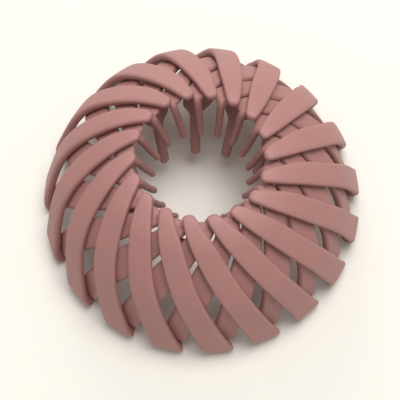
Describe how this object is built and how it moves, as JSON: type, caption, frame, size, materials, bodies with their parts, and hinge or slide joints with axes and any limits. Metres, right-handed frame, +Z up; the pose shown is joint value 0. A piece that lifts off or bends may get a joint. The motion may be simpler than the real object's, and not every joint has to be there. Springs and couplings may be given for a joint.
{
  "type": "expanding spiral bun clip",
  "caption": "Round hair clip of two layers of curved plastic strips that swirl opposite ways round an open mouth, with teeth pointing inward to hold a bun.",
  "frame": {"origin": "centre of the ring's bounding box at the plane of its feet, so the clip stands on z = 0", "axes": "+Z up along the ring's axis through the open mouth, -Y toward the side that faces the viewer in the picture, +X to the viewer's right"},
  "size_m": [0.0864, 0.0865, 0.0352],
  "materials": {
    "strip_plastic": "soft satin dusty rose, one colour throughout"
  },
  "bodies": {
    "root": {"outer_strip_01": "strip_plastic", "outer_strip_02": "strip_plastic", "outer_strip_03": "strip_plastic", "outer_strip_04": "strip_plastic", "outer_strip_05": "strip_plastic", "outer_strip_06": "strip_plastic", "outer_strip_07": "strip_plastic", "outer_strip_08": "strip_plastic", "outer_strip_09": "strip_plastic", "outer_strip_10": "strip_plastic", "outer_strip_11": "strip_plastic", "outer_strip_12": "strip_plastic", "outer_strip_13": "strip_plastic", "outer_strip_14": "strip_plastic", "outer_strip_15": "strip_plastic", "outer_strip_16": "strip_plastic", "outer_strip_17": "strip_plastic", "outer_strip_18": "strip_plastic", "inner_strip_01": "strip_plastic", "inner_strip_02": "strip_plastic", "inner_strip_03": "strip_plastic", "inner_strip_04": "strip_plastic", "inner_strip_05": "strip_plastic", "inner_strip_06": "strip_plastic", "inner_strip_07": "strip_plastic", "inner_strip_08": "strip_plastic", "inner_strip_09": "strip_plastic", "inner_strip_10": "strip_plastic", "inner_strip_11": "strip_plastic", "inner_strip_12": "strip_plastic", "inner_strip_13": "strip_plastic", "inner_strip_14": "strip_plastic", "inner_strip_15": "strip_plastic", "inner_strip_16": "strip_plastic", "inner_strip_17": "strip_plastic", "inner_strip_18": "strip_plastic"}
  },
  "joints": []
}
